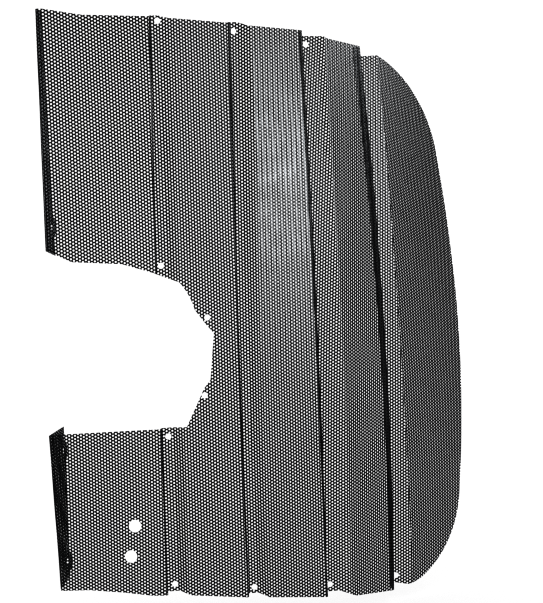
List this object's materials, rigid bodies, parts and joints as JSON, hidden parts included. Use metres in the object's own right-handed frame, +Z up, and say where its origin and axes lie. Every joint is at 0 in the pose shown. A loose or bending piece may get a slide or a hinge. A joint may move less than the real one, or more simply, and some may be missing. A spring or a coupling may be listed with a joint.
{
  "type": "perforated cover screen",
  "caption": "D-shaped perforated sheet-metal cover screen in stepped, bowed bays with a side cut-out, folded side flanges and screw holes.",
  "frame": {"origin": "centre of the first ledge's second screw hole from the top, on the ledge's front surface", "axes": "+Z up along the bays, -Y towards the front, +X towards the rounded edge"},
  "size_m": [0.4298, 0.136, 0.5513],
  "materials": {
    "black_paint": "semi-gloss powder coat"
  },
  "bodies": {
    "root": {"bay_1_upper": "black_paint", "bay_1_lower": "black_paint", "bay_2": "black_paint", "bay_3": "black_paint", "bay_4": "black_paint", "bay_5": "black_paint"}
  },
  "joints": []
}
